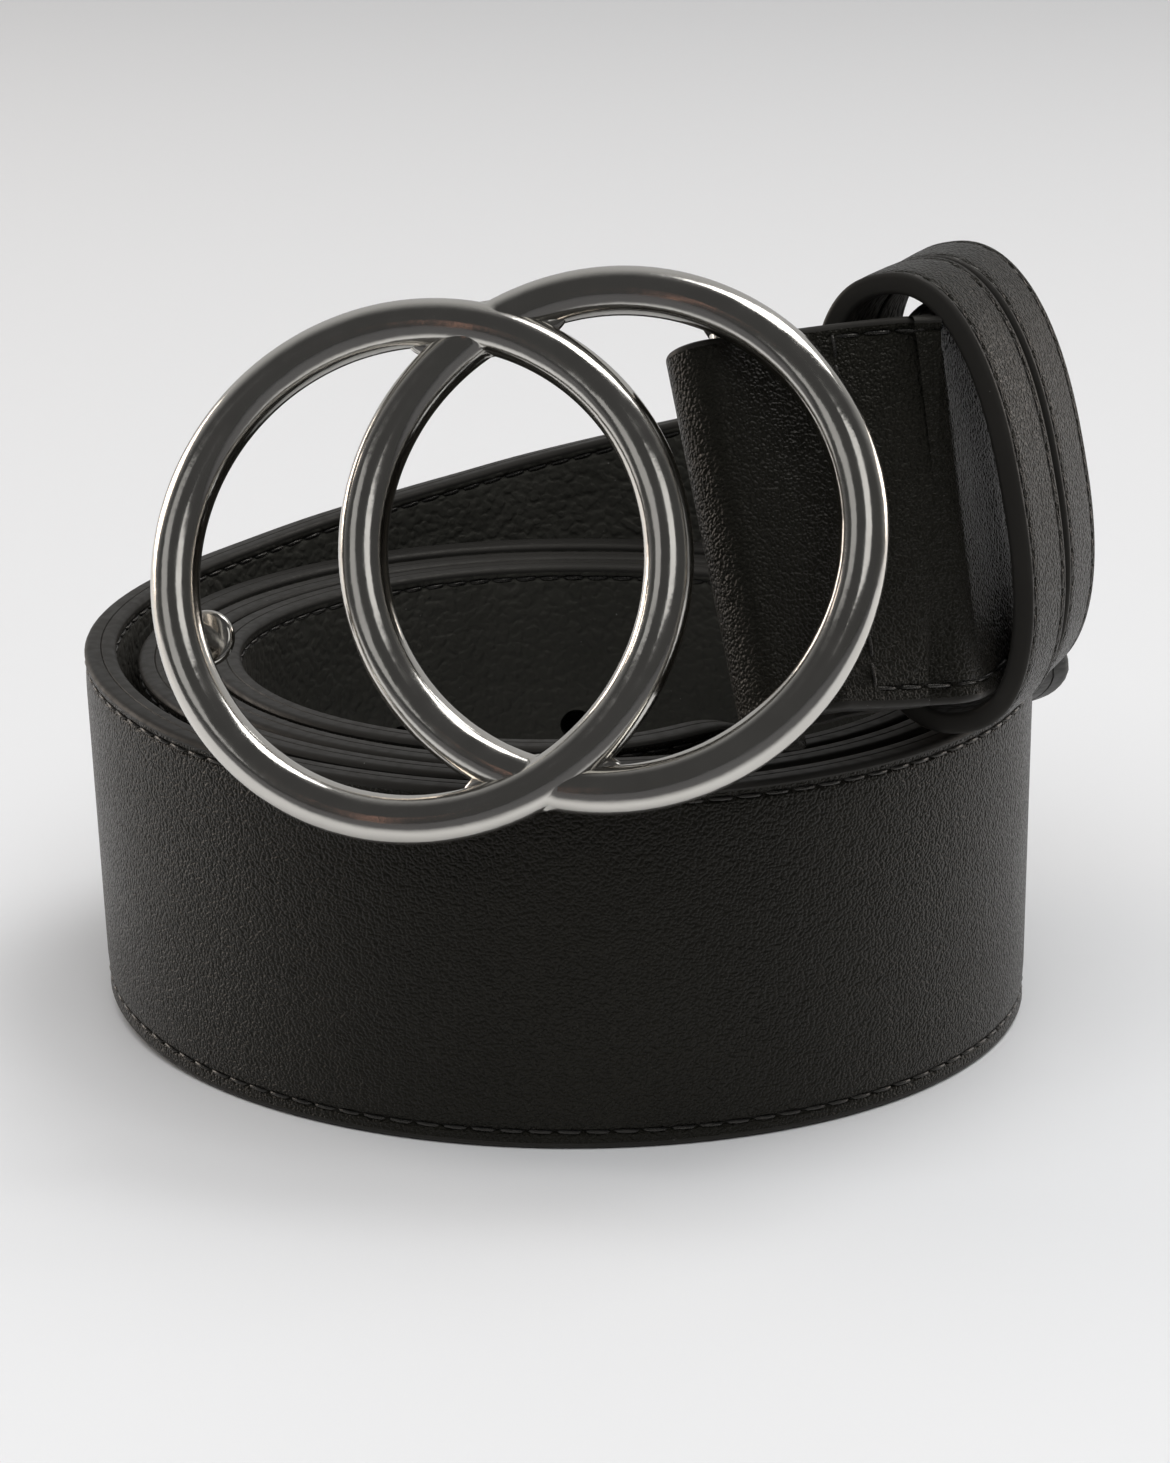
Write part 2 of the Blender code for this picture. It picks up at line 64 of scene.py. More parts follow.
# %% Sizes of the strap and its coil
STRAP_WIDTH = 40 * MM
FACE_THICKNESS = 1.9 * MM
LINING_THICKNESS = 1.4 * MM
GLUE_GAP = 0.3 * MM
TIP_LENGTH = 19 * MM
TIP_END_SHARE = 0.28
COIL_RADIUS = 52 * MM
STATIONS_PER_TURN = 150
LAST_TURN = 3.895
TIP_TURNS = 0.085
TIP_STATIONS = 30
TANGENT_TURN = 0.004
STRAP_ROWS = [
    # turn, radius, height, lean
    (-0.092, 0.998, 1.645, -12.5),
    (-0.058, 0.976, 1.638, -11.5),
    (-0.028, 0.978, 1.600, -10.0),
    (0.000, 0.996, 1.500, -8.5),
    (0.028, 1.025, 1.340, -7.0),
    (0.056, 1.042, 1.220, -4.5),
    (0.083, 1.046, 1.128, -2.5),
    (0.125, 1.048, 1.030, -1.0),
    (0.167, 1.048, 0.940, 0.0),
    (0.225, 1.048, 0.810, 0.0),
    (0.257, 1.048, 0.745, 0.0),
    (0.289, 1.046, 0.683, 0.5),
    (0.335, 1.044, 0.616, 1.0),
    (0.388, 1.043, 0.565, 1.6),
    (0.444, 1.045, 0.545, 2.2),
    (0.500, 1.047, 0.538, 2.4),
    (0.560, 1.040, 0.520, 2.8),
    (0.625, 1.026, 0.500, 3.2),
    (0.750, 1.020, 0.500, 3.6),
    (0.875, 1.008, 0.500, 2.2),
    (1.000, 0.985, 0.500, 0.0),
    (1.125, 0.966, 0.500, 0.4),
    (1.250, 0.929, 0.500, 0.8),
    (1.375, 0.924, 0.500, 1.6),
    (1.500, 0.931, 0.500, 2.4),
    (1.625, 0.932, 0.500, 3.2),
    (1.750, 0.930, 0.500, 3.6),
    (1.875, 0.926, 0.500, 2.2),
    (2.000, 0.908, 0.500, 0.0),
    (2.125, 0.868, 0.500, 0.4),
    (2.250, 0.806, 0.500, 0.8),
    (2.375, 0.818, 0.500, 1.6),
    (2.500, 0.855, 0.500, 2.4),
    (2.625, 0.855, 0.500, 3.2),
    (2.750, 0.854, 0.500, 3.6),
    (2.875, 0.850, 0.500, 2.2),
    (3.000, 0.831, 0.500, 0.0),
    (3.125, 0.786, 0.500, 0.4),
    (3.250, 0.729, 0.500, 0.8),
    (3.375, 0.738, 0.500, 1.6),
    (3.500, 0.779, 0.500, 2.4),
    (3.625, 0.764, 0.500, 3.2),
    (3.750, 0.722, 0.500, 3.6),
    (3.800, 0.670, 0.500, 3.0),
    (3.858, 0.575, 0.500, 2.0),
    (3.895, 0.490, 0.500, 1.0),
]
UPRIGHT_FROM = 0.44
UPRIGHT_AT = 0.60
print("rows of the strap:", len(STRAP_ROWS))


# %% [markdown]
# The table is read with a monotone cubic: it passes through every row and never swings past a value, so no
# turn can bulge into the next one.

# %% Read the table
def share_between(value, low, high):
    """Share of the way from low to high, from 0 to 1."""
    return min(max((value - low) / (high - low), 0.0), 1.0)


def hermite(t, start, leave, end, arrive):
    """Cubic from start to end with given slopes, for numbers or vectors."""
    return (start * (2 * t ** 3 - 3 * t ** 2 + 1) + leave * (t ** 3 - 2 * t ** 2 + t)
            + end * (3 * t ** 2 - 2 * t ** 3) + arrive * (t ** 3 - t ** 2))


def slope_at(rows, i, column):
    """Slope of a column at a row: none where the column turns round."""
    if i == 0 or i == len(rows) - 1:
        k = 0 if i == 0 else i - 1
        return (rows[k + 1][column] - rows[k][column]) / (rows[k + 1][0] - rows[k][0])
    before = (rows[i][column] - rows[i - 1][column]) / (rows[i][0] - rows[i - 1][0])
    after = (rows[i + 1][column] - rows[i][column]) / (rows[i + 1][0] - rows[i][0])
    return 0.0 if before * after <= 0 else 2 * before * after / (before + after)


def interpolate(rows, turn):
    """Every column of the table at one turn."""
    i = max(k for k in range(len(rows) - 1) if k == 0 or rows[k][0] <= turn)
    span = rows[i + 1][0] - rows[i][0]
    t = share_between(turn, rows[i][0], rows[i + 1][0])
    return [hermite(t, rows[i][c], slope_at(rows, i, c) * span, rows[i + 1][c], slope_at(rows, i + 1, c) * span)
            for c in range(1, len(rows[0]))]


def coil_point(turn):
    """Middle of the outer face at a turn."""
    radius, height, _ = interpolate(STRAP_ROWS, turn)
    angle = math.tau * turn
    return Vector((radius * COIL_RADIUS * math.cos(angle), radius * COIL_RADIUS * math.sin(angle),
                   height * STRAP_WIDTH))


def leaning(tangent, lean):
    """Line across the strap, tipped outwards by an angle from upright."""
    level = Vector((tangent.y, -tangent.x, 0)).normalized()
    return level * math.sin(lean) + Vector((0, 0, 1)) * math.cos(lean)


# %% [markdown]
# ## Where the buckle sits
# The two rings lie almost in one plane, tipped back and rolled a little. Three directions describe that plane.
# The bar runs behind the rings, and the strap is folded round it, so the bar is the hinge of the buckle. The
# coil's own centre lies a little off the middle of the whole belt, and the shift sets that right.

# %% Directions of the buckle
RING_AZIMUTH = math.radians(-12.7)
RING_ELEVATION = math.radians(26.2)
RING_ROLL = math.radians(12.9)
RING_DIAMETER = 56.7 * MM
WIRE_DIAMETER = 5.1 * MM
RING_SPACING = 19.9 * MM
RING_STEP = 0.6 * MM
BAR_DIAMETER = 3.6 * MM
BAR_TO_RING_CENTRE = 13.6 * MM
BAR_BEHIND_RINGS = 6.6 * MM
BAR_SHARES = (0.349, -0.816, 1.609)

FRONT = Vector((math.sin(RING_AZIMUTH) * math.cos(RING_ELEVATION),
                -math.cos(RING_AZIMUTH) * math.cos(RING_ELEVATION), math.sin(RING_ELEVATION)))
ALONG = Matrix.Rotation(RING_ROLL, 3, FRONT) @ Vector((0, 0, 1)).cross(FRONT).normalized()
UP_BAR = FRONT.cross(ALONG)
BAR = Vector((BAR_SHARES[0] * COIL_RADIUS, BAR_SHARES[1] * COIL_RADIUS, BAR_SHARES[2] * STRAP_WIDTH))
SHIFT = Vector((-0.341, 3.480, 0)) * MM
print("middle of the bar:", [round(c, 5) for c in BAR + SHIFT])

# %% [markdown]
# ## The fold
# The strap's end is skived, folded round the bar and sewn to itself. A U of constant radius round the bar,
# then two legs that meet, is how it is made at the bench, so the curve is built from those same parts.

# %% Sizes of the fold
FOLD_TURN = math.radians(26.0)
FOLD_SKEW = math.radians(4.0)
FOLD_CLEARANCE = 0.3 * MM
FOLD_DROP = 0.4 * MM
FOLD_LENGTH = 22 * MM
TWIST_FROM = 7 * MM
FOLD_TWIST = 0.7
TAIL_PARTS = 4.8 * MM
TAIL_MEETS = 11.8 * MM
TAIL_LENGTH = 16.5 * MM
BEND_RADIUS = 4.8 * MM
TAIL_STATIONS, BAR_STATIONS, BEND_STATIONS, JOIN_STATIONS = 25, 29, 19, 13
SLOT_RADIUS = BAR_DIAMETER / 2 + FOLD_CLEARANCE
FOLD_RADIUS = SLOT_RADIUS + FACE_THICKNESS
FOLD_OUT = FRONT * math.cos(FOLD_TURN) + ALONG * math.sin(FOLD_TURN)
FOLD_SIDE = ALONG * math.cos(FOLD_TURN) - FRONT * math.sin(FOLD_TURN)
FOLD_ALONG = FOLD_SIDE * math.cos(FOLD_SKEW) + UP_BAR * math.sin(FOLD_SKEW)
FOLD_ACROSS = UP_BAR * math.cos(FOLD_SKEW) - FOLD_SIDE * math.sin(FOLD_SKEW)
FOLD_CENTRE = BAR - FOLD_ALONG * math.sin(FOLD_SKEW) * STRAP_WIDTH / 2 - FOLD_ACROSS * FOLD_DROP


def first_across():
    """Line across the strap where the table starts."""
    turn, _, _, lean = STRAP_ROWS[0]
    return leaning(coil_point(turn + TANGENT_TURN) - coil_point(turn), math.radians(lean))


def fold_axes(along):
    """Line across the fold and the direction of its front, at a distance from the bar."""
    share = FOLD_TWIST * share_between(along, TWIST_FROM, FOLD_LENGTH)
    across = FOLD_ACROSS.lerp(first_across(), share)
    across = (across - FOLD_ALONG * across.dot(FOLD_ALONG)).normalized()
    return across, FOLD_ALONG.cross(across)


# %% Points from the tail round the bar
def tail_and_bar():
    """Points and lines across, from the tail's end to the front of the bar."""
    points, across = [], []
    for along in np.linspace(TAIL_LENGTH, 0, TAIL_STATIONS):
        share = share_between(along, TAIL_PARTS, TAIL_MEETS)
        share = 3 * share ** 2 - 2 * share ** 3
        depth = -FOLD_RADIUS * (1 - share) + (SLOT_RADIUS - GLUE_GAP - FACE_THICKNESS) * share
        line, out = fold_axes(along)
        points.append(FOLD_CENTRE + FOLD_ALONG * float(along) + out * float(depth))
        across.append(line)
    for angle in np.linspace(0, math.pi, BAR_STATIONS)[1:-1]:
        points.append(FOLD_CENTRE - FOLD_ALONG * FOLD_RADIUS * math.sin(angle)
                      - FOLD_OUT * FOLD_RADIUS * math.cos(angle))
        across.append(FOLD_ACROSS.copy())
    return points, across


# %% [markdown]
# After its front leg the strap turns sharply backwards and runs to the loops. The turn is a small arc between
# the leg and the line that leads to the first row of the table.

# %% Points over the bend
def leg_and_bend(points, across):
    """Adds the front leg, the bend and the way to the coil. Returns the number of the bend's last point."""
    line, out = fold_axes(FOLD_LENGTH)
    corner = FOLD_CENTRE + FOLD_ALONG * FOLD_LENGTH + out * FOLD_RADIUS
    target = coil_point(STRAP_ROWS[0][0])
    onward = target - corner
    onward = (onward - line * line.dot(onward)).normalized()
    turn = FOLD_ALONG.angle(onward)
    cut = BEND_RADIUS * math.tan(turn / 2)
    for along in np.linspace(0, FOLD_LENGTH - cut, BEND_STATIONS)[:-1]:
        side, face = fold_axes(along)
        points.append(FOLD_CENTRE + FOLD_ALONG * float(along) + face * FOLD_RADIUS)
        across.append(side)
    inward = (onward - FOLD_ALONG * FOLD_ALONG.dot(onward)).normalized()
    centre = corner - FOLD_ALONG * cut + inward * BEND_RADIUS
    for angle in np.linspace(0, turn, BEND_STATIONS):
        points.append(centre + FOLD_ALONG * BEND_RADIUS * math.sin(angle) - inward * BEND_RADIUS * math.cos(angle))
        across.append(line)
    bend_end = len(points) - 1
    begin = points[-1]
    reach = (target - begin).length
    leave = onward * reach
    arrive = (coil_point(STRAP_ROWS[0][0] + TANGENT_TURN) - target).normalized() * reach
    for t in np.linspace(0, 1, JOIN_STATIONS)[1:-1].tolist():
        points.append(hermite(t, begin, leave, target, arrive))
        across.append(line.lerp(first_across(), t))
    return bend_end


# %% All stations of the strap
def coil_turns():
    """Turns of the coil's stations, closer together at the tip."""
    turns = [STRAP_ROWS[0][0]]
    step = 1 / STATIONS_PER_TURN
    tip = LAST_TURN - TIP_TURNS
    turns += [k * step for k in range(math.ceil(turns[0] / step + 0.3), math.floor(tip / step) + 1)]
    left = LAST_TURN - turns[-1]
    return turns + [turns[-1] + left * (1 - (1 - k / TIP_STATIONS) ** 1.5) for k in range(1, TIP_STATIONS + 1)]


def make_stations():
    """Arrays of middle, across, outward and distance along the strap, and the places of its parts."""
    points, across = tail_and_bar()
    front_leg = len(points)
    bend_end = leg_and_bend(points, across)
    first_coil, turns = len(points), coil_turns()
    points += [coil_point(turn) for turn in turns]
    across += [leaning(coil_point(turn + TANGENT_TURN / 2) - coil_point(turn - TANGENT_TURN / 2),
                       math.radians(interpolate(STRAP_ROWS, turn)[2])) for turn in turns]
    rows = []
    for k in range(len(points)):
        tangent = (points[min(k + 1, len(points) - 1)] - points[max(k - 1, 0)]).normalized()
        square = (across[k] - tangent * across[k].dot(tangent)).normalized()
        outward = tangent.cross(square).normalized()
        turn = turns[k - first_coil] if k >= first_coil else -1.0
        share = share_between(turn, UPRIGHT_FROM, UPRIGHT_AT)
        if share > 0:
            level = Vector((tangent.y, -tangent.x, 0)).normalized()
            lean = math.radians(interpolate(STRAP_ROWS, turn)[2])
            square = square.lerp(Vector((0, 0, 1)) + level * math.tan(lean), share)
            outward = outward.lerp(level, share).normalized()
        rows.append((*points[k], *square, *outward))
    rows = np.array(rows)
    rows[:, :3] += np.array(SHIFT)
    steps = np.linalg.norm(np.diff(rows[:, :3], axis=0), axis=1)
    distance = np.concatenate(([0.0], np.cumsum(steps)))
    return rows, distance, front_leg, bend_end


STATIONS, DISTANCE, FRONT_LEG, BEND_END = make_stations()
STRAP_LENGTH = float(DISTANCE[-1])
print("stations:", len(STATIONS), "strap length in metres:", round(STRAP_LENGTH, 4))


# %% [markdown]
# Everything that sits on the strap, such as a stitch or a loop, asks one helper for its place: a point at a
# distance along the strap, a distance across it and a depth under its outer face.

# %% A place on the strap
def width_share(distance):
    """Share of the full width that the pointed tip keeps."""
    left = np.clip((STRAP_LENGTH - np.asarray(distance, dtype=float)) / TIP_LENGTH, 0.0, 1.0)
    return TIP_END_SHARE + (1 - TIP_END_SHARE) * np.sqrt(1 - (1 - left) ** 2)


def axes_at(distance):
    """Middle, line across and direction of the face at distances along the strap."""
    values = np.stack([np.interp(distance, DISTANCE, STATIONS[:, c]) for c in range(9)], axis=-1)
    return values[..., 0:3], values[..., 3:6], values[..., 6:9]


def strap_place(distance, across, depth):
    """Points at distances along the strap, across it and under its outer face."""
    middle, line, out = axes_at(distance)
    wide = (np.asarray(across) * width_share(distance))[..., None]
    return middle + line * wide - out * np.asarray(depth)[..., None]


# %% [markdown]
# ## Making a mesh from rings of points
# A loft joins rings of points, one after the other, with four-sided faces. Each strip of faces along the loft
# has its own number, so a cut edge can take another finish than the face next to it.

# %% Loft
SHARP_DEGREES = 40.0


def finish_mesh(name, mesh, looks, sharp=SHARP_DEGREES):
    """Object with its materials, shaded smooth and kept sharp at edges."""
    made = bpy.data.objects.new(name, mesh)
    bpy.context.scene.collection.objects.link(made)
    for look in looks:
        mesh.materials.append(look)
    mesh.shade_smooth()
    mesh.set_sharp_from_angle(angle=math.radians(sharp))
    return made


def mesh_of(bm, name):
    """Mesh from a bmesh, which is freed."""
    mesh = bpy.data.meshes.new(name)
    bm.to_mesh(mesh)
    bm.free()
    return mesh


def loft(name, rings, bands, looks, closed=False):
    """Closed solid through rings of points. bands gives the material number of each strip."""
    count, around = rings.shape[:2]
    faces, numbers = [], []
    for i in range(count if closed else count - 1):
        j = (i + 1) % count
        for k in range(around):
            n = (k + 1) % around
            faces.append((i * around + k, i * around + n, j * around + n, j * around + k))
            numbers.append(bands[k])
    if not closed:
        faces += [tuple(range(around)), tuple(range(count * around - 1, (count - 1) * around - 1, -1))]
        numbers += [max(bands)] * 2
    mesh = bpy.data.meshes.new(name)
    mesh.from_pydata(rings.reshape(-1, 3).tolist(), [], faces)
    mesh.polygons.foreach_set("material_index", numbers)
    bm = bmesh.new()
    bm.from_mesh(mesh)
    bmesh.ops.recalc_face_normals(bm, faces=bm.faces)
    bm.to_mesh(mesh)
    bm.free()
    made = finish_mesh(name, mesh, looks)
    print(name, "faces:", len(mesh.polygons))
    return made


# %% [markdown]
# ## Shared effects for the finishes
# Three effects come back in several materials. The **pebble grain** is pressed into the coating of the
# leather: small cells with soft valleys. **Handling marks** are faint, large patches that change the gloss.
# **Fine specks** are dust and fibres. Each is a node group with named sockets, so that a material only sets
# how large and how strong the effect is.

# %% Helpers for node groups
def new_group(name, inputs, outputs):
    """Node group with named number inputs and outputs, and its two end nodes."""
    group = bpy.data.node_groups.new(name, "ShaderNodeTree")
    for label, value in inputs:
        socket = group.interface.new_socket(label, in_out="INPUT", socket_type="NodeSocketFloat")
        socket.default_value = value
    for label in outputs:
        group.interface.new_socket(label, in_out="OUTPUT", socket_type="NodeSocketFloat")
    return group, group.nodes.new("NodeGroupInput"), group.nodes.new("NodeGroupOutput")


def node(tree, kind, links=None, **settings):
    """Node with settings, and with links or values for its inputs."""
    made = tree.nodes.new(kind)
    for key, value in settings.items():
        setattr(made, key, value)
    for key, value in (links or {}).items():
        if isinstance(value, bpy.types.NodeSocket):
            tree.links.new(value, made.inputs[key])
        else:
            made.inputs[key].default_value = value
    return made


def compute(tree, operation, *values, **settings):
    """Result of a Math node."""
    return node(tree, "ShaderNodeMath", dict(enumerate(values)), operation=operation, **settings).outputs[0]


def ranged(tree, value, low, high, to_low=0.0, to_high=1.0, kind="LINEAR"):
    """Number moved from one range to another."""
    return node(tree, "ShaderNodeMapRange", {"Value": value, "From Min": low, "From Max": high, "To Min": to_low,
                                             "To Max": to_high}, interpolation_type=kind).outputs["Result"]


def noise(tree, place, scale, detail=2.0):
    """Noise texture node."""
    return node(tree, "ShaderNodeTexNoise", {"Vector": place, "Scale": scale, "Detail": detail})


def scaled_place(tree, scale):
    """Object coordinates times a scale in cells per metre."""
    place = node(tree, "ShaderNodeTexCoord").outputs["Object"]
    return node(tree, "ShaderNodeVectorMath", {0: place, "Scale": scale}, operation="SCALE").outputs[0]


# %% Pebble grain
def make_grain():
    """Cells of the pressed leather: height from 0 in the valleys to 1, and a mask of the valleys."""
    group, start, end = new_group("pebble_grain", [("Cells per metre", 2200.0), ("Wrinkle", 0.5)],
                                  ["Height", "Valley"])
    place = scaled_place(group, start.outputs["Cells per metre"])
    bend = noise(group, place, 0.6).outputs["Color"]
    moved = node(group, "ShaderNodeVectorMath", {0: bend, 1: place}, operation="ADD").outputs[0]
    cells = node(group, "ShaderNodeTexVoronoi", {"Vector": moved, "Scale": 1.0, "Randomness": 0.9},
                 feature="SMOOTH_F1").outputs["Distance"]
    valley = ranged(group, cells, 0.25, 0.75, kind="SMOOTHSTEP")
    wide = noise(group, place, 0.22, 3.0).outputs["Fac"]
    fold = compute(group, "MULTIPLY", wide, start.outputs["Wrinkle"])
    height = compute(group, "ADD", compute(group, "SUBTRACT", 1.0, valley), fold)
    group.links.new(height, end.inputs["Height"])
    group.links.new(valley, end.inputs["Valley"])
    return group


PEBBLE_GRAIN = make_grain()
print("sockets of the grain:", [s.name for s in PEBBLE_GRAIN.interface.items_tree])


# %% Handling marks and specks
def make_marks():
    """Large faint patches, from 0 to 1."""
    group, start, end = new_group("handling_marks", [("Patches per metre", 60.0), ("Contrast", 0.5)], ["Marks"])
    place = scaled_place(group, start.outputs["Patches per metre"])
    patch = noise(group, place, 1.0, 5.0).outputs["Fac"]
    strong = compute(group, "MULTIPLY", compute(group, "SUBTRACT", patch, 0.5), start.outputs["Contrast"])
    marks = compute(group, "ADD", strong, 0.5, use_clamp=True)
    group.links.new(marks, end.inputs["Marks"])
    return group


def make_specks():
    """Rare small dots, such as dust and fibre ends: 1 on a dot."""
    group, start, end = new_group("fine_specks", [("Dots per metre", 900.0), ("Dot size", 0.16)], ["Specks"])
    place = scaled_place(group, start.outputs["Dots per metre"])
    cells = node(group, "ShaderNodeTexVoronoi", {"Vector": place, "Scale": 1.0}).outputs["Distance"]
    near = compute(group, "LESS_THAN", cells, start.outputs["Dot size"])
    rare = ranged(group, noise(group, place, 0.35).outputs["Fac"], 0.52, 0.66)
    dots = compute(group, "MULTIPLY", near, rare)
    group.links.new(dots, end.inputs["Specks"])
    return group


HANDLING_MARKS, FINE_SPECKS = make_marks(), make_specks()


# %% [markdown]
# ## The finishes
# All leather materials share one recipe: a dark base, a gloss that the handling marks vary, and the grain as
# height of a bump. The coated face has a fine crisp grain and a satin gloss. The painted cut edge is smooth
# and a little lighter. The lining is duller and coarser. The thread is waxed.

# %% Leather recipe
def placed(tree, group, **values):
    """Node group placed in a material, with its values."""
    made = tree.nodes.new("ShaderNodeGroup")
    made.node_tree = group
    for label, value in values.items():
        made.inputs[label.replace("_", " ")].default_value = value
    return made


def colour_mix(tree, share, one, two):
    """Colour between one and two."""
    made = node(tree, "ShaderNodeMix", {0: share, 6: (*one, 1.0), 7: (*two, 1.0)}, data_type="RGBA")
    return made.outputs[2]


def new_look(name, values):
    """Material, its node tree and its shader, with values set on the shader."""
    made = bpy.data.materials.new(name)
    made.use_nodes = True
    shader = made.node_tree.nodes["Principled BSDF"]
    for label, value in values.items():
        shader.inputs[label].default_value = value
    return made, made.node_tree, shader


DUST = (0.16, 0.155, 0.15, 1.0)
VALLEY_ROUGHNESS = 0.12


def leather(name, base, worn, roughness, cells, bump, wrinkle=0.5, dots=0.0, gleam=0.2):
    """Leather with grain, a range of roughness, and specks."""
    made, tree, shader = new_look(name, {
        "Specular IOR Level": gleam, "Specular Tint": (1.0, 0.94, 0.84, 1.0), "Sheen Weight": 0.02,
        "Sheen Roughness": 0.35, "Sheen Tint": (1.0, 0.88, 0.76, 1.0)})
    grain = placed(tree, PEBBLE_GRAIN, Cells_per_metre=cells, Wrinkle=wrinkle)
    marks = placed(tree, HANDLING_MARKS, Patches_per_metre=70.0, Contrast=1.6).outputs["Marks"]
    specks = placed(tree, FINE_SPECKS, Dots_per_metre=650.0, Dot_size=dots).outputs["Specks"]
    colour = node(tree, "ShaderNodeMix", {0: specks, 6: colour_mix(tree, marks, base, worn), 7: DUST},
                  data_type="RGBA").outputs[2]
    tree.links.new(colour, shader.inputs["Base Color"])
    gloss = ranged(tree, marks, 0.0, 1.0, *roughness)
    rough = compute(tree, "MULTIPLY_ADD", grain.outputs["Valley"], VALLEY_ROUGHNESS, gloss)
    tree.links.new(rough, shader.inputs["Roughness"])
    raised = node(tree, "ShaderNodeBump", {"Height": grain.outputs["Height"], "Strength": 1.0, "Distance": bump})
    tree.links.new(raised.outputs["Normal"], shader.inputs["Normal"])
    return made


BLACK_LEATHER = leather("black_leather", (0.0052, 0.0051, 0.0040), (0.0085, 0.0082, 0.0064), (0.28, 0.36), 3200.0,
                        0.19 * MM, wrinkle=0.25)
EDGE_PAINT = leather("edge_paint", (0.014, 0.0135, 0.0125), (0.021, 0.020, 0.0185), (0.40, 0.52), 900.0,
                     0.010 * MM, wrinkle=1.0, dots=0.05)
LINING_LEATHER = leather("lining_leather", (0.022, 0.022, 0.019), (0.034, 0.033, 0.029), (0.42, 0.60), 1150.0,
                         0.16 * MM, wrinkle=2.0, dots=0.05)
THREAD = leather("waxed_thread", (0.008, 0.008, 0.008), (0.013, 0.013, 0.013), (0.22, 0.32), 5200.0,
                 0.020 * MM, gleam=0.6)

# %% [markdown]
# The rings are polished and plated, so almost all that shows on them is the room. The casting under the
# plating is never quite even, and a very low bump bends the reflections a little, as on the real thing.

# %% Plated alloy
def plated_alloy():
    """Bright plated metal with slightly uneven polish."""
    made, tree, shader = new_look("plated_alloy", {"Metallic": 1.0})
    marks = placed(tree, HANDLING_MARKS, Patches_per_metre=420.0, Contrast=2.0).outputs["Marks"]
    uneven = placed(tree, HANDLING_MARKS, Patches_per_metre=160.0, Contrast=1.0).outputs["Marks"]
    tree.links.new(colour_mix(tree, uneven, (0.57, 0.55, 0.51), (0.67, 0.65, 0.61)), shader.inputs["Base Color"])
    tree.links.new(ranged(tree, marks, 0.0, 1.0, 0.10, 0.20), shader.inputs["Roughness"])
    raised = node(tree, "ShaderNodeBump", {"Height": uneven, "Strength": 1.0, "Distance": 0.10 * MM})
    tree.links.new(raised.outputs["Normal"], shader.inputs["Normal"])
    return made


PLATED_ALLOY = plated_alloy()
print("materials:", [m.name for m in bpy.data.materials])

# %% [markdown]
# ## The strap
# The face leather is turned to a soft edge. A row of stitches runs near each edge and pulls the leather down
# into a groove. The groove is part of the section, because a bump map would vanish along the outline. Between
# the fold's cross seam and the bar there is no stitching, so the groove fades out there.

# %% Section of the face leather
HALF = STRAP_WIDTH / 2
EDGE_ROUND = 0.75 * MM
LOW_ROW = -HALF + 2.0 * MM
TOP_ROW = HALF - 1.5 * MM
GROOVE_DEPTH = 0.34 * MM
GROOVE_HALF = 0.24 * MM
PULL_DEPTH = 0.12 * MM
PULL_HALF = 1.4 * MM
SEAM_FROM_BAR = 11 * MM
SEAM_FADE = 1.5 * MM
BACK_CHAMFER = (0.12 * MM, 0.1 * MM)
END_PLACES = (0.12 * MM, 0.4 * MM)
END_INSET = 0.35 * MM
SEAM = float(DISTANCE[FRONT_LEG]) + SEAM_FROM_BAR


def groove(across):
    """Depth of the stitched grooves at places across the strap."""
    depth = np.zeros_like(across)
    for row in (LOW_ROW, TOP_ROW):
        apart = across - row
        depth += GROOVE_DEPTH * np.exp(-(apart / GROOVE_HALF) ** 2) + PULL_DEPTH * np.exp(-(apart / PULL_HALF) ** 2)
    return depth


def face_places():
    """Places across the flat of the face, closer together in the grooves."""
    fine = np.linspace(-3, 3, 13) * GROOVE_HALF
    places = np.concatenate((np.linspace(-HALF + EDGE_ROUND, HALF - EDGE_ROUND, 34), LOW_ROW + fine, TOP_ROW + fine))
    places = np.sort(places[(places >= -HALF + EDGE_ROUND) & (places <= HALF - EDGE_ROUND)])
    return places[np.concatenate(([True], np.diff(places) > 0.02 * MM))]


def corner(radius, steps=6):
    """Quarter round from the flat (0, 0) to the side (radius, radius): across and depth."""
    angles = np.linspace(0, math.pi / 2, steps)
    return radius * np.sin(angles), radius * (1 - np.cos(angles))


# %% [markdown]
# The section is one closed line. It runs over the face from the lower to the upper edge, round the upper edge
# and back behind the face. Its strips round the edges take the edge paint.

# %% Loft the face leather
def section(top, bottom):
    """Closed section between two depths, with the face's side at top. Gives across, depth, grooved and band."""
    places = face_places()
    out, down = corner(EDGE_ROUND)
    sign = 1 if bottom > top else -1
    thick = abs(bottom - top)
    cut_across, cut_deep = BACK_CHAMFER
    across = np.concatenate((places, HALF - EDGE_ROUND + out[1:], [HALF, HALF - cut_across],
                             [-HALF + cut_across, -HALF], (-HALF + EDGE_ROUND - out[1:])[::-1]))
    depth = np.concatenate((np.zeros(len(places)), down[1:], [thick - cut_deep, thick],
                            [thick, thick - cut_deep], down[1:][::-1]))
    grooved = np.concatenate((groove(places), np.zeros(len(across) - len(places))))
    first_edge = len(places) - 1
    bands = [0 if k < first_edge else 1 for k in range(len(across))]
    return across, top + sign * depth, sign * grooved, bands


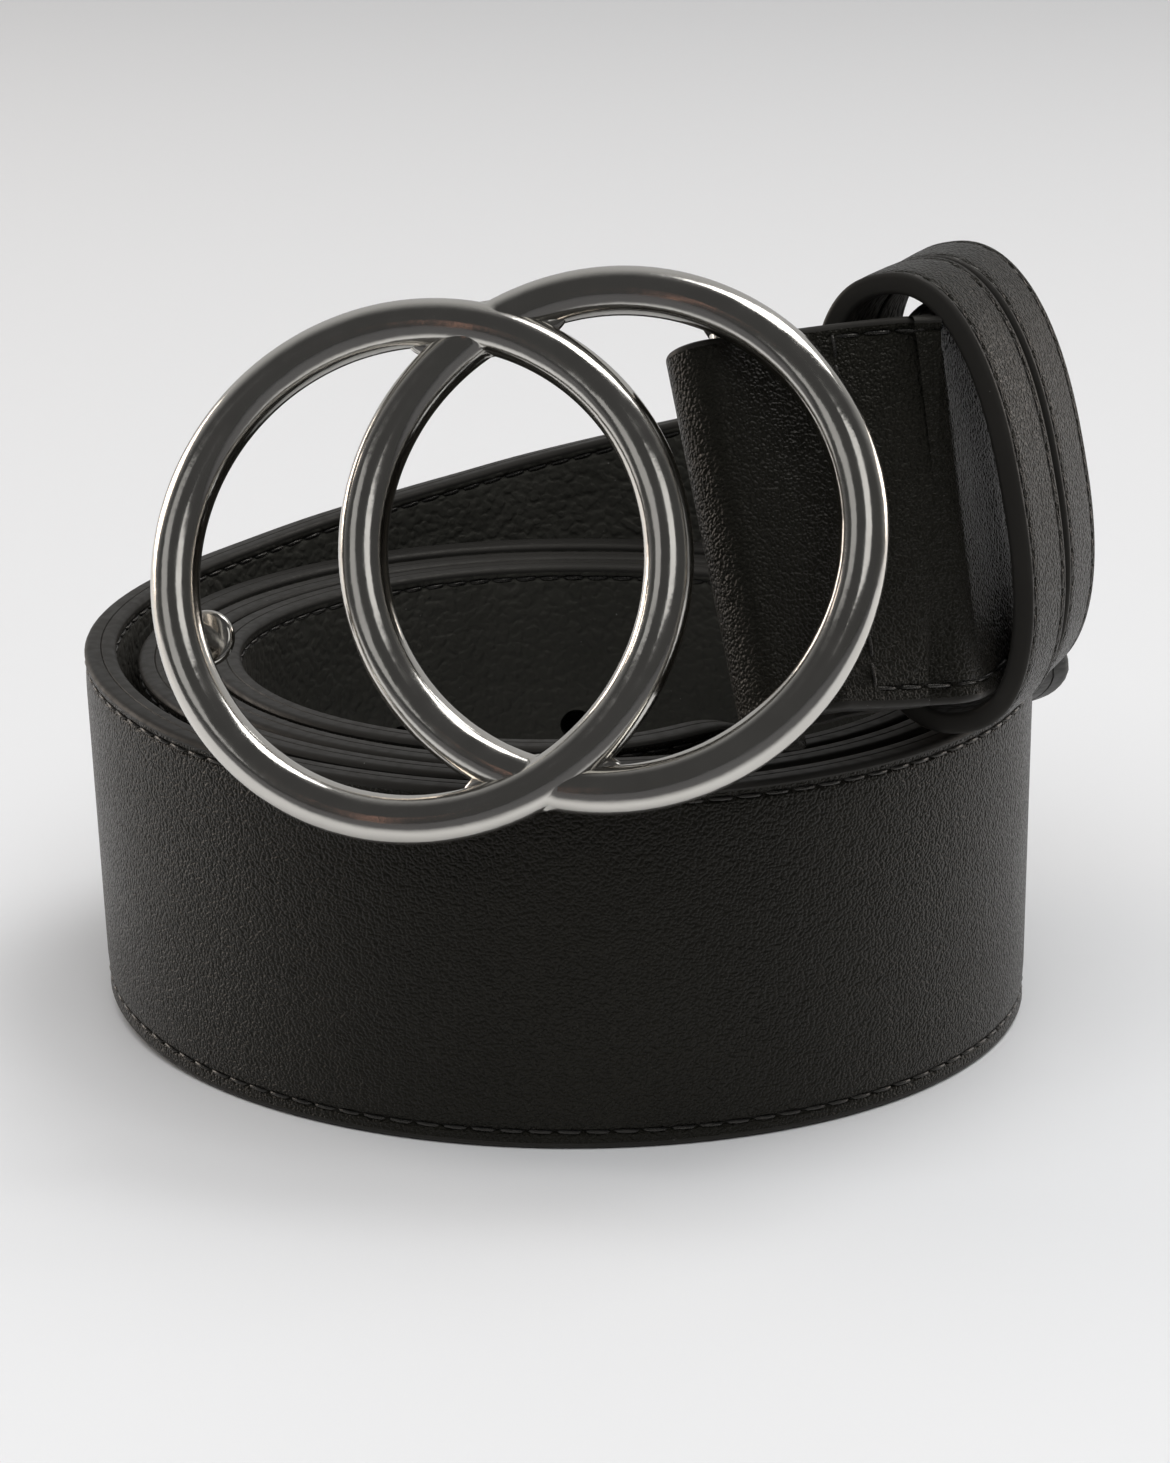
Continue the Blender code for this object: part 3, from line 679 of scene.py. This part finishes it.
def ribbon(name, numbers, parts, stitched, looks):
    """Sweeps a section along the stations, with a small rounding at both ends."""
    across, depth, grooved, bands = parts
    distance = DISTANCE[numbers]
    start, end = distance[0], distance[-1]
    near, far = END_PLACES
    inner = distance[1:-1]
    distance = np.sort(np.concatenate(([start, start + near, start + far], inner[inner > start + 1.5 * far],
                                       [end - far, end - near, end])))
    distance = distance[np.concatenate(([True], np.diff(distance) > 0.05 * MM))]
    edge = np.minimum(distance - start, end - distance)
    inset = END_INSET * (1 - np.clip(edge / far, 0, 1)) ** 2
    centre = (depth.min() + depth.max()) / 2
    thick_half = abs(depth - centre).max()
    rings = []
    for place, pull in zip(distance, inset):
        share = float(np.clip((place - stitched) / SEAM_FADE, 0, 1))
        down = depth + grooved * share
        down = centre + (down - centre) * (1 - pull / thick_half)
        wide = across * (1 - pull / HALF)
        rings.append(strap_place(np.full(len(across), place), wide, down))
    return loft(name, np.array(rings), bands, looks)


face = ribbon("strap_face_leather", np.arange(len(DISTANCE)), section(0.0, FACE_THICKNESS), SEAM,
              [BLACK_LEATHER, EDGE_PAINT])

# %% [markdown]
# The lining is glued behind the face and its edges are painted together with it. It starts behind the bend,
# where the strap is thinned to fold. Its own stitch rows show on the inside of the coil.

# %% Loft the lining
LINING_TOP = FACE_THICKNESS + 0.03 * MM
LINING_BACK = FACE_THICKNESS + GLUE_GAP + LINING_THICKNESS
lining = ribbon("strap_lining_leather", np.arange(BEND_END, len(DISTANCE)), section(LINING_BACK, LINING_TOP),
                0.0, [LINING_LEATHER, EDGE_PAINT])

# %% [markdown]
# ## Peg holes
# A row of round holes takes the buckle's stud. They are punched through face and lining near the tip. Here
# they are cut with a boolean, so that light falls through them.

# %% Punch the holes
HOLE_DIAMETER = 4 * MM
HOLE_COUNT = 5
HOLE_SPACING = 25 * MM
FIRST_HOLE = 105.6 * MM


def apply_modifiers(target):
    """Turns an object's modifiers into its mesh."""
    shown = target.evaluated_get(bpy.context.evaluated_depsgraph_get())
    mesh = bpy.data.meshes.new_from_object(shown)
    target.modifiers.clear()
    old, target.data = target.data, mesh
    bpy.data.meshes.remove(old)
    mesh.shade_smooth()
    mesh.set_sharp_from_angle(angle=math.radians(SHARP_DEGREES))


def add_boolean(target, cutter, operation):
    """Exact boolean with another object."""
    step = target.modifiers.new(cutter.name, "BOOLEAN")
    step.operation, step.solver, step.object = operation, "EXACT", cutter


def hole_punch():
    """One mesh of all the punched plugs."""
    bm = bmesh.new()
    for number in range(HOLE_COUNT):
        middle, _, out = axes_at(STRAP_LENGTH - FIRST_HOLE - number * HOLE_SPACING)
        out = Vector(out).normalized()
        side = out.cross(Vector((0, 0, 1))).normalized()
        up = out.cross(side)
        centre = Vector(middle) - out * (LINING_BACK / 2)
        turned = Matrix((side, up, out)).transposed().to_4x4()
        bmesh.ops.create_cone(bm, cap_ends=True, segments=40, radius1=HOLE_DIAMETER / 2, radius2=HOLE_DIAMETER / 2,
                              depth=LINING_BACK + 2 * MM, matrix=Matrix.Translation(centre) @ turned)
    return finish_mesh("hole_punch", mesh_of(bm, "hole_punch"), [])


punch = hole_punch()
for piece in (face, lining):
    add_boolean(piece, punch, "DIFFERENCE")
bpy.context.view_layer.update()
for piece in (face, lining):
    apply_modifiers(piece)
    print(piece.name, "faces after punching:", len(piece.data.polygons))
bpy.data.objects.remove(punch)


# %% [markdown]
# ## The stitches
# Each stitch is a short piece of thread that comes out of one hole, lies on the leather and dives into the
# next. It is a small tube of five rings, thin at its ends. All stitches of a piece are one mesh, made at once
# with numpy, because thousands of separate objects would be slow.

# %% Build stitches
STITCH_PITCH = 3.1 * MM
STITCH_LENGTH = 2.8 * MM
THREAD_RADIUS = 0.21 * MM
THREAD_SIDES = 6
SEAT_SHARE = 0.8
STITCH_RISE = np.array([-0.30, 0.02, 0.10, 0.02, -0.30]) * MM
STITCH_SWELL = np.array([0.45, 0.95, 1.0, 0.95, 0.45])
STITCH_SPOTS = np.array([0.0, 0.14, 0.5, 0.86, 1.0])


def stitch_mesh(name, starts, ends, outs):
    """One mesh of threads between starts and ends. outs are the directions away from the leather."""
    outs = outs / np.linalg.norm(outs, axis=1, keepdims=True)
    run = ends - starts
    run /= np.linalg.norm(run, axis=1, keepdims=True)
    beside = np.cross(run, outs)
    centres = starts[:, None] + (ends - starts)[:, None] * STITCH_SPOTS[None, :, None]
    centres = centres + outs[:, None] * STITCH_RISE[None, :, None]
    angles = np.arange(THREAD_SIDES) * math.tau / THREAD_SIDES
    spokes = outs[:, None] * np.cos(angles)[None, :, None] + beside[:, None] * np.sin(angles)[None, :, None]
    points = centres[:, :, None] + spokes[:, None] * (THREAD_RADIUS * STITCH_SWELL)[None, :, None, None]
    faces = []
    sides = THREAD_SIDES
    per_stitch = len(STITCH_SPOTS) * sides
    for base in range(0, len(starts) * per_stitch, per_stitch):
        for ring in range(base, base + per_stitch - sides, sides):
            for k in range(sides):
                a, b = ring + k, ring + (k + 1) % sides
                faces.append((a, a + sides, b + sides, b))
        faces += [tuple(range(base, base + sides)), tuple(base + per_stitch - 1 - k for k in range(sides))]
    mesh = bpy.data.meshes.new(name)
    mesh.from_pydata(points.reshape(-1, 3).tolist(), [], faces)
    made = finish_mesh(name, mesh, [THREAD], sharp=70)
    print(name, "stitches:", len(starts), "faces:", len(faces))
    return made


# %% [markdown]
# Two rows run along the face and two along the lining. Hand feed makes stitches lean a little, so each one
# starts just above its row and ends just below. One seam crosses the fold and holds both its legs together.

# %% Stitches of the strap
STITCH_SLANT = 0.05 * MM


def along_row(start, end, across, depth, sign):
    """Starts, ends and directions of stitches along the strap."""
    places = np.arange(start, end - STITCH_LENGTH, STITCH_PITCH)
    one = strap_place(places, np.full(len(places), across + STITCH_SLANT), np.full(len(places), depth))
    two = strap_place(places + STITCH_LENGTH, np.full(len(places), across - STITCH_SLANT),
                      np.full(len(places), depth))
    return one, two, axes_at(places + STITCH_LENGTH / 2)[2] * sign


def across_row(distance, sign):
    """Starts, ends and directions of the seam across the fold."""
    places = np.arange(LOW_ROW, TOP_ROW - STITCH_LENGTH * 0.6, STITCH_PITCH)
    spot = np.full(len(places), distance)
    one = strap_place(spot + STITCH_SLANT, places, np.zeros(len(places)))
    two = strap_place(spot - STITCH_SLANT, places + STITCH_LENGTH, np.zeros(len(places)))
    return one, two, axes_at(spot)[2] * sign


tip_stop = STRAP_LENGTH - 1.0 * MM
thread_seat = GROOVE_DEPTH * SEAT_SHARE
rows = [along_row(SEAM, tip_stop, row, thread_seat, 1) for row in (LOW_ROW, TOP_ROW)]
rows += [along_row(DISTANCE[BEND_END] + 1 * MM, tip_stop, row, LINING_BACK - thread_seat, -1)
         for row in (LOW_ROW, TOP_ROW)]
rows += [across_row(SEAM, 1), across_row(TAIL_LENGTH - SEAM_FROM_BAR, 1)]
strap_stitches = stitch_mesh("strap_stitches", *[np.concatenate([row[c] for row in rows]) for c in range(3)])

# %% [markdown]
# ## The loops behind the fold
# A keeper is a band of leather sewn near both edges and closed to a ring. It stands square to the strap. Its
# ring is a rounded oblong, which bends more at the corners than a plain oval and so hugs the strap's edges.

# %% Sizes of the loops
KEEPER_WIDTH = 11.2 * MM
KEEPER_HEIGHT = 49 * MM
BACK_KEEPER_SHARE = 0.985
KEEPER_DEPTH = 22.2 * MM
KEEPER_THICKNESS = 2.3 * MM
KEEPER_OUTER_ROOM = 4.3 * MM
KEEPER_FIRST = 1.2 * MM
KEEPER_PITCH = 12.6 * MM
KEEPER_TURN_SHARE = 0.3
KEEPER_RISE = 0.1 * MM
KEEPER_SQUARENESS = 2.4
KEEPER_ROW = KEEPER_WIDTH / 2 - 1.25 * MM
KEEPER_ROUND = 0.55 * MM
KEEPER_PULL = (0.08 * MM, 0.9 * MM)
KEEPER_SEAT_SHARE = 0.7
KEEPER_STATIONS = 200


def signed_power(value):
    """Cosine or sine shaped for a rounded oblong."""
    return np.copysign(np.abs(value) ** (2 / KEEPER_SQUARENESS), value)


def keeper_section():
    """Closed section of the band: inset from its outside, place along it, and band number."""
    flat = np.linspace(-KEEPER_WIDTH / 2 + KEEPER_ROUND, KEEPER_WIDTH / 2 - KEEPER_ROUND, 49)
    out, down = corner(KEEPER_ROUND, 5)
    pull_depth, pull_half = KEEPER_PULL
    dip = sum(GROOVE_DEPTH * SEAT_SHARE * np.exp(-((flat - row) / GROOVE_HALF) ** 2)
              + pull_depth * np.exp(-((flat - row) / pull_half) ** 2) for row in (-KEEPER_ROW, KEEPER_ROW))
    start = KEEPER_WIDTH / 2 - KEEPER_ROUND
    edge, down = start + out[1:], down[1:]
    along = np.concatenate((flat, edge, edge[::-1], [start, -start], -edge, -edge[::-1]))
    inset = np.concatenate((dip, down, (KEEPER_THICKNESS - down)[::-1], [KEEPER_THICKNESS] * 2,
                            KEEPER_THICKNESS - down, down[::-1]))
    flats = len(flat) - 1
    inner = flats + 2 * len(down) + 1
    bands = [0 if k < flats else 2 if k == inner else 1 for k in range(len(along))]
    return inset, along, bands


# %% Loft the loops
def keeper_axes(distance):
    """Centre, outward, up and forward of a loop, as arrays."""
    pair = float(DISTANCE[BEND_END]) + KEEPER_FIRST + KEEPER_WIDTH / 2 + KEEPER_PITCH / 2
    middle = axes_at(distance)[0]
    _, across, outward = axes_at(pair + KEEPER_TURN_SHARE * (distance - pair))
    across, outward = across / np.linalg.norm(across), outward / np.linalg.norm(outward)
    forward = -np.cross(outward, across)
    forward /= np.linalg.norm(forward)
    inside = KEEPER_THICKNESS + KEEPER_OUTER_ROOM
    return middle - outward * (KEEPER_DEPTH / 2 - inside) + across * KEEPER_RISE, outward, across, forward


def oblong(axes, height, angle, inset, along):
    """Points of a loop at angles, insets and places along the strap."""
    centre, outward, up, forward = axes
    out = (KEEPER_DEPTH / 2 - inset) * signed_power(np.cos(angle))
    rise = (height / 2 - inset) * signed_power(np.sin(angle))
    return centre + out[..., None] * outward + rise[..., None] * up + along[..., None] * forward


def even_angles(axes, height, count):
    """Angles that space points evenly round a loop."""
    angles = np.linspace(0, math.tau, 2001)
    zero = np.zeros_like(angles)
    line = oblong(axes, height, angles, zero, zero)
    run = np.concatenate(([0.0], np.cumsum(np.linalg.norm(np.diff(line, axis=0), axis=1))))
    return np.interp(np.arange(count) * run[-1] / count, run, angles), run[-1]


def build_keeper(name, distance, height):
    """A loop and its stitches."""
    axes = keeper_axes(distance)
    angles, length = even_angles(axes, height, KEEPER_STATIONS)
    inset, along, bands = keeper_section()
    rings = np.array([oblong(axes, height, np.full(len(inset), a), inset, along) for a in angles])
    band = loft(name, rings, bands, [BLACK_LEATHER, EDGE_PAINT, LINING_LEATHER], closed=True)
    count = round(length / STITCH_PITCH)
    starts, _ = even_angles(axes, height, count)
    ends = starts + (np.roll(starts, -1) - starts) % math.tau * (STITCH_LENGTH / STITCH_PITCH)
    centre, outward, up, _ = axes
    one, two, outs = [], [], []
    low = np.full(count, GROOVE_DEPTH * KEEPER_SEAT_SHARE)
    square = 2 - 2 / KEEPER_SQUARENESS
    slope_out = np.copysign(np.abs(np.cos(starts)) ** square, np.cos(starts)) / KEEPER_DEPTH
    slope_up = np.copysign(np.abs(np.sin(starts)) ** square, np.sin(starts)) / height
    for row in (-KEEPER_ROW, KEEPER_ROW):
        one.append(oblong(axes, height, starts, low, np.full(count, row + STITCH_SLANT)))
        two.append(oblong(axes, height, ends, low, np.full(count, row - STITCH_SLANT)))
        outs.append(slope_out[:, None] * outward + slope_up[:, None] * up)
    stitches = stitch_mesh(name + "_stitches", np.concatenate(one), np.concatenate(two), np.concatenate(outs))
    return band, stitches


first = float(DISTANCE[BEND_END]) + KEEPER_FIRST + KEEPER_WIDTH / 2
front_keeper, front_stitches = build_keeper("front_loop", first, KEEPER_HEIGHT)
back_keeper, back_stitches = build_keeper("back_loop", first + KEEPER_PITCH, KEEPER_HEIGHT * BACK_KEEPER_SHARE)

# %% [markdown]
# ## The buckle
# The buckle is cast in one piece and plated. Its rings are true tori. A boolean union joins the rings, the
# bar with its two lugs, the small webs where the rings cross, and the stud, and leaves one skin without hidden
# faces.

# %% Parts of the casting
LUG_THICKNESS = 2.0 * MM
LUG_WIDTH = 4.4 * MM
STUD_ANGLE = math.radians(185.0)
STUD_NECK_DIAMETER = 2.6 * MM
STUD_NECK_LENGTH = 2.6 * MM
STUD_HEAD_DIAMETER = 6.0 * MM
STUD_HEAD_THICKNESS = 1.5 * MM
STUD_INSET = 1.2 * MM
STUD_SINK = 0.4 * MM
STUD_OVERLAP = 0.2 * MM
LUG_SINK = 0.6 * MM
LUG_ROUND = 0.5 * MM
RING_SEGMENTS, BAR_SEGMENTS, HEAD_SEGMENTS = 200, 40, 48
CAST_SHARP = 30
WIRE_CIRCLE = (RING_DIAMETER - WIRE_DIAMETER) / 2
WEB_HALF = (8.4 * MM, 3.0 * MM, 1.6 * MM)


def turned_to(centre, x_axis, y_axis, z_axis):
    """Matrix with the given axes and centre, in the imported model's place."""
    turned = Matrix((x_axis, y_axis, z_axis)).transposed().to_4x4()
    return Matrix.Translation(centre + SHIFT) @ turned


def lathe(name, profile, place, segments=64):
    """Solid turned about the Z axis of a place. The profile holds (radius, height) and is closed by itself."""
    bm = bmesh.new()
    rings = [[bm.verts.new((r * math.cos(a), r * math.sin(a), h)) for r, h in profile]
             for a in np.linspace(0, math.tau, segments, endpoint=False)]
    count = len(profile)
    for one, two in zip(rings, rings[1:] + rings[:1]):
        for k in range(count):
            bm.faces.new((one[k], two[k], two[(k + 1) % count], one[(k + 1) % count]))
    bmesh.ops.remove_doubles(bm, verts=bm.verts, dist=1e-6)
    bmesh.ops.recalc_face_normals(bm, faces=bm.faces)
    bmesh.ops.transform(bm, matrix=place, verts=bm.verts)
    return finish_mesh(name, mesh_of(bm, name), [PLATED_ALLOY], CAST_SHARP)


def torus_profile(steps=48):
    """Round wire at its distance from the ring's middle."""
    angles = np.linspace(0, math.tau, steps, endpoint=False)
    return [(WIRE_CIRCLE + WIRE_DIAMETER / 2 * math.cos(a), WIRE_DIAMETER / 2 * math.sin(a)) for a in angles]


def ball_profile(steps=24):
    """Half circle of radius 1."""
    return [(max(math.cos(a), 1e-6), math.sin(a)) for a in np.linspace(-math.pi / 2, math.pi / 2, steps)]


def rod_profile(radius, low, high, rounding):
    """Half section of a rod from low to high, with rounded ends."""
    angles = np.linspace(0, math.pi / 2, 6)
    top = [(radius - rounding + rounding * math.cos(a), high - rounding + rounding * math.sin(a)) for a in angles]
    bottom = [(r, low + high - h) for r, h in reversed(top)]
    return [(1e-7, low)] + bottom + top + [(1e-7, high)]


# %% Join the casting
right_centre = BAR - ALONG * BAR_TO_RING_CENTRE + FRONT * BAR_BEHIND_RINGS
left_centre = right_centre - ALONG * RING_SPACING + FRONT * RING_STEP
reach = math.sqrt(WIRE_CIRCLE ** 2 - BAR_TO_RING_CENTRE ** 2)
buckle = lathe("double_ring_buckle", torus_profile(), turned_to(left_centre, ALONG, UP_BAR, FRONT), RING_SEGMENTS)
joined = [lathe("right_ring", torus_profile(), turned_to(right_centre, ALONG, UP_BAR, FRONT), RING_SEGMENTS),
          lathe("bar", rod_profile(BAR_DIAMETER / 2, -reach, reach, 0.2 * MM),
                turned_to(BAR, FRONT, ALONG, UP_BAR), BAR_SEGMENTS)]
lug_depth = BAR_BEHIND_RINGS + BAR_DIAMETER / 2 + LUG_SINK
for name, side in (("upper_lug", 1), ("lower_lug", -1)):
    centre = BAR + UP_BAR * reach * side + FRONT * (BAR_BEHIND_RINGS - lug_depth / 2)
    bm = bmesh.new()
    bmesh.ops.create_cube(bm, size=1.0, matrix=Matrix.Diagonal((LUG_WIDTH, LUG_THICKNESS, lug_depth, 1.0)))
    bmesh.ops.bevel(bm, geom=bm.edges, offset=LUG_ROUND, segments=5, affect="EDGES", profile=0.5)
    bmesh.ops.transform(bm, matrix=turned_to(centre, ALONG, UP_BAR, FRONT), verts=bm.verts)
    joined.append(finish_mesh(name, mesh_of(bm, name), [PLATED_ALLOY], CAST_SHARP))
cross_height = math.sqrt(WIRE_CIRCLE ** 2 - RING_SPACING ** 2 / 4)
web_axes = [axis * half for axis, half in zip((ALONG, UP_BAR, FRONT), WEB_HALF)]
for name, side in (("upper_web", 1), ("lower_web", -1)):
    crossing = (left_centre + right_centre) / 2 + UP_BAR * side * cross_height
    round_place, web_place = turned_to(crossing, ALONG, UP_BAR, FRONT), turned_to(crossing, *web_axes)
    web = lathe(name, ball_profile(), round_place)
    web.data.transform(web_place @ round_place.inverted())
    joined.append(web)
spot = left_centre + (ALONG * math.cos(STUD_ANGLE) + UP_BAR * math.sin(STUD_ANGLE)) * (WIRE_CIRCLE - STUD_INSET)
behind = turned_to(spot, ALONG, UP_BAR, FRONT)
neck_depth = WIRE_DIAMETER / 2 + STUD_NECK_LENGTH
head_low = -neck_depth - STUD_HEAD_THICKNESS + STUD_OVERLAP
neck = rod_profile(STUD_NECK_DIAMETER / 2, -neck_depth - STUD_SINK, 0, 0.2 * MM)
head = rod_profile(STUD_HEAD_DIAMETER / 2, head_low, head_low + STUD_HEAD_THICKNESS, 0.6 * MM)
joined += [lathe("stud_neck", neck, behind, BAR_SEGMENTS), lathe("stud_head", head, behind, HEAD_SEGMENTS)]
for part in joined:
    add_boolean(buckle, part, "UNION")
bpy.context.view_layer.update()
apply_modifiers(buckle)
for part in joined:
    bpy.data.objects.remove(part)
print("casting faces:", len(buckle.data.polygons))

# %% [markdown]
# ## Tying the pieces to the imported model
# The strap, its stitches and the loops belong to the belt. The casting turns on its bar, so it rides on the
# buckle's body. Each visible piece takes the place of the plain solid that it refines.

# %% Bodies and solids
for piece in (face, lining, strap_stitches, front_keeper, front_stitches, back_keeper, back_stitches):
    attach(piece, "belt")
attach(buckle, "buckle")
for piece, solid in ((face, "strap_face"), (lining, "strap_lining"), (front_keeper, "keeper_front"),
                     (back_keeper, "keeper_back"), (buckle, "ring_buckle")):
    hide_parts(solid)

# %% [markdown]
# ## Floor, light and camera
# The belt stands on a plain pale floor. Black coated leather and plated metal show mostly what they mirror,
# so the light is made of soft panels with dark room between them. A wide one above the front gives the even
# light and stays out of all mirror images. One is high behind on the right, one low behind on each side, two
# weak ones are in front, and a thin warm strip puts a trace of colour on the rings. The room stays dark in
# front, which gives the rings their dark cores. For the same reason the floor is painted dark for mirror rays
# away from the belt, as if it were a small table: a painted dark reflection.

# %% Floor
PALE, PAINTED_REFLECTION_DARK = (0.735, 0.74, 0.75), (0.10, 0.10, 0.105)
MIRRORED_FROM, MIRRORED_TO = -85 * MM, -125 * MM


def floor_finish():
    """Pale floor, painted dark for mirror rays away from the belt: a painted dark reflection."""
    made, tree, shader = new_look("pale_floor", {"Roughness": 0.55})
    place = node(tree, "ShaderNodeTexCoord").outputs["Object"]
    y = node(tree, "ShaderNodeSeparateXYZ", {0: place}).outputs["Y"]
    mirrored = node(tree, "ShaderNodeLightPath").outputs["Is Glossy Ray"]
    # Mirror rays away from the belt see the floor painted dark: a painted dark reflection.
    share = compute(tree, "MULTIPLY", ranged(tree, y, MIRRORED_FROM, MIRRORED_TO), mirrored)
    tree.links.new(colour_mix(tree, share, PALE, PAINTED_REFLECTION_DARK), shader.inputs["Base Color"])
    return made


FLOOR_SIZE = 8.0
mesh = bpy.data.meshes.new("floor")
half = FLOOR_SIZE / 2
mesh.from_pydata([(-half, -half, 0), (half, -half, 0), (half, half, 0), (-half, half, 0)], [], [(0, 1, 2, 3)])
floor = finish_mesh("floor", mesh, [floor_finish()])


# %% Soft panels
MIDDLE = Vector((0.0, 0.0, 45 * MM))


def panel(name, place, size, watts, colour=(1.0, 1.0, 1.0), mirrored=True):
    """Soft light panel that looks at the belt. Gloss shows it only where mirrored is true."""
    light = bpy.data.lights.new(name, "AREA")
    light.shape, light.size, light.size_y = "RECTANGLE", *size
    light.energy, light.color = watts, colour
    made = bpy.data.objects.new(name, light)
    made.location = place
    made.rotation_euler = (MIDDLE - Vector(place)).to_track_quat("-Z", "Y").to_euler()
    made.visible_glossy = mirrored
    bpy.context.scene.collection.objects.link(made)


panel("high_panel", (0.46, 0.30, 1.22), (0.5, 0.8), 6.0)
panel("wide_panel", (0.0, -0.75, 1.5), (2.2, 1.5), 26.5, mirrored=False)
panel("left_panel", (-1.0, 0.55, 0.30), (0.6, 0.5), 4.2, (1.0, 0.88, 0.78))
panel("right_panel", (1.0, 0.60, 0.22), (0.5, 0.4), 2.2, (1.0, 0.90, 0.82))
panel("near_left_panel", (-0.92, -0.62, 0.50), (0.5, 0.6), 0.40)
panel("near_right_panel", (0.34, -0.85, 0.80), (0.5, 0.5), 0.70)
panel("warm_strip", (-0.50, -0.90, 0.22), (0.02, 0.5), 0.020, (1.0, 0.52, 0.38))

# %% [markdown]
# The room itself is a world colour that falls from pale behind the belt to dark in front of it. The direction
# of a ray decides, not the camera, so the room stays put in every view.

# %% Room
world = bpy.data.worlds.new("studio_room")
bpy.context.scene.world = world
world.use_nodes = True
tree = world.node_tree
direction = node(tree, "ShaderNodeTexCoord").outputs["Generated"]
parts = node(tree, "ShaderNodeSeparateXYZ", {0: direction})
wall = ranged(tree, parts.outputs["Y"], -0.15, 0.75, 0.07, 0.55, "SMOOTHSTEP")
background = tree.nodes["Background"]
tree.links.new(wall, background.inputs["Color"])
background.inputs["Strength"].default_value = 0.9

# %% [markdown]
# A long lens from a little above shows the coil's edges as flat ellipses. The lens is worked out from the
# height of the frame, because the frame is higher than wide.

# %% Camera
FRAME_HEIGHT = 1463
FOCAL_IN_PIXELS = 4344
CAMERA_PLACE = Vector((0.001, -0.472, 0.1749))
CAMERA_DOWN = 17.09
camera_data = bpy.data.cameras.new("camera")
camera = bpy.data.objects.new("camera", camera_data)
bpy.context.scene.collection.objects.link(camera)
camera_data.sensor_width = 36.0
camera_data.lens = FOCAL_IN_PIXELS / FRAME_HEIGHT * camera_data.sensor_width
camera_data.clip_start, camera_data.clip_end = 0.01, 20.0
camera.location = CAMERA_PLACE + SHIFT
camera.rotation_euler = (math.radians(90 - CAMERA_DOWN), 0, 0)
bpy.context.scene.camera = camera
bpy.context.scene.view_settings.view_transform = "Standard"
print("lens in millimetres:", round(camera_data.lens, 2))
